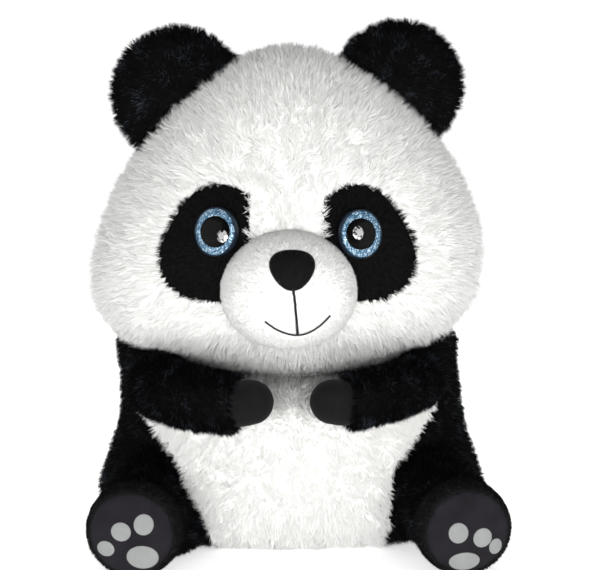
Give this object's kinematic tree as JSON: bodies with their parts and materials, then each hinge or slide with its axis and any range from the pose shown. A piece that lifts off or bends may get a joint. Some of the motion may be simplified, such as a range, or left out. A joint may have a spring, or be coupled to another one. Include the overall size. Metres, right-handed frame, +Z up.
{
  "type": "plush panda",
  "caption": "Seated stuffed panda with white and black plush, domed glitter eyes, folded arms and splayed boots; head, ears, arms and legs flex at their seams.",
  "frame": {"origin": "middle of the rectangle of floor that the part covers, at floor level", "axes": "+Z up, the face and the feet point towards -Y, +X is the side of the nodes named right"},
  "size_m": [0.3584, 0.3307, 0.4562],
  "materials": {
    "white_plush": "soft pile about 9 mm long",
    "black_plush": "soft pile about 9 mm long",
    "white_velour": "short dense pile",
    "black_velour": "short dense pile",
    "black_suede": "brushed suede cloth",
    "sole_suede": "brushed suede cloth",
    "grey_velour": "short flat pile",
    "nose_velour": "short pile with a satin edge",
    "black_thread": "twisted thread",
    "white_thread": "twisted thread",
    "black_plastic": "polished",
    "blue_glitter": "glitter flakes under lacquer",
    "clear_dome": "polished clear acrylic",
    "cut_stone": "faceted clear acrylic",
    "washer_plastic": "moulded",
    "pellets": "small round beads",
    "bag_cloth": "plain woven",
    "polyester_fill": "loose fibre fill"
  },
  "bodies": {
    "torso": {"body_stuffing": "polyester_fill", "pellet_bag": "bag_cloth", "pellets": "pellets", "belly_panel": "white_plush", "back_panel_left": "black_plush", "back_panel_right": "black_plush", "seat_panel": "black_plush", "closing_stitches": "black_thread", "tail_cover": "black_plush", "tail_stuffing": "polyester_fill"},
    "neck": {"neck_stuffing": "polyester_fill", "neck_stitching": "white_thread"},
    "head": {"head_stuffing": "polyester_fill", "face_panel_left": "white_plush", "face_panel_right": "white_plush", "forehead_gusset": "white_plush", "head_back_left": "white_plush", "head_back_right": "white_plush", "muzzle_panel": "white_velour", "eye_patch_left": "black_plush", "eye_patch_right": "black_plush", "nose": "nose_velour", "mouth_stitching": "black_thread", "eye_back_left": "black_plastic", "eye_back_right": "black_plastic", "eye_ring_left": "blue_glitter", "eye_ring_right": "blue_glitter", "pupil_left": "black_plastic", "pupil_right": "black_plastic", "eye_lens_left": "clear_dome", "eye_lens_right": "clear_dome", "eye_gem_left": "cut_stone", "eye_gem_right": "cut_stone", "lock_washer_left": "washer_plastic", "lock_washer_right": "washer_plastic"},
    "ear_left": {"ear_front_left": "black_plush", "ear_back_left": "black_plush", "ear_stuffing_left": "polyester_fill"},
    "arm_left": {"sleeve_left": "black_plush", "hand_left": "black_suede", "arm_stuffing_left": "polyester_fill"},
    "leg_left": {"leg_cover_left": "black_plush", "boot_left": "black_velour", "sole_left": "sole_suede", "sole_spots_left": "grey_velour", "leg_stuffing_left": "polyester_fill"},
    "ear_right": {"ear_front_right": "black_plush", "ear_back_right": "black_plush", "ear_stuffing_right": "polyester_fill"},
    "arm_right": {"sleeve_right": "black_plush", "hand_right": "black_suede", "arm_stuffing_right": "polyester_fill"},
    "leg_right": {"leg_cover_right": "black_plush", "boot_right": "black_velour", "sole_right": "sole_suede", "sole_spots_right": "grey_velour", "leg_stuffing_right": "polyester_fill"}
  },
  "joints": [
    {"name": "head_turn", "type": "hinge", "parent": "torso", "child": "neck", "pos_m": [0, 0.0398, 0.1485], "axis": [0, 0, 1], "range_deg": [-12, 12], "stiffness_Nm_per_rad": 1.5},
    {"name": "head_lean", "type": "hinge", "parent": "neck", "child": "head", "pos_m": [0, 0.0798, 0.1485], "axis": [-1, 0, 0], "range_deg": [0, 10], "stiffness_Nm_per_rad": 6},
    {"name": "arm_left_swing", "type": "hinge", "parent": "torso", "child": "arm_left", "pos_m": [-0.126, -0.0022, 0.14], "axis": [0, 0, -1], "range_deg": [0, 50], "stiffness_Nm_per_rad": 0.4},
    {"name": "arm_right_swing", "type": "hinge", "parent": "torso", "child": "arm_right", "pos_m": [0.126, -0.0022, 0.14], "axis": [0, 0, 1], "range_deg": [0, 50], "stiffness_Nm_per_rad": 0.4},
    {"name": "leg_left_lift", "type": "hinge", "parent": "torso", "child": "leg_left", "pos_m": [-0.118, -0.0282, 0.048], "axis": [-1, 0, 0], "range_deg": [0, 18], "stiffness_Nm_per_rad": 0.8},
    {"name": "leg_right_lift", "type": "hinge", "parent": "torso", "child": "leg_right", "pos_m": [0.118, -0.0282, 0.048], "axis": [-1, 0, 0], "range_deg": [0, 18], "stiffness_Nm_per_rad": 0.8},
    {"name": "ear_left_fold", "type": "hinge", "parent": "head", "child": "ear_left", "pos_m": [-0.088, 0.0428, 0.388], "axis": [0.7141, 0, 0.7001], "range_deg": [-20, 20], "stiffness_Nm_per_rad": 0.15},
    {"name": "ear_right_fold", "type": "hinge", "parent": "head", "child": "ear_right", "pos_m": [0.088, 0.0428, 0.388], "axis": [0.7141, 0, -0.7001], "range_deg": [-20, 20], "stiffness_Nm_per_rad": 0.15}
  ]
}
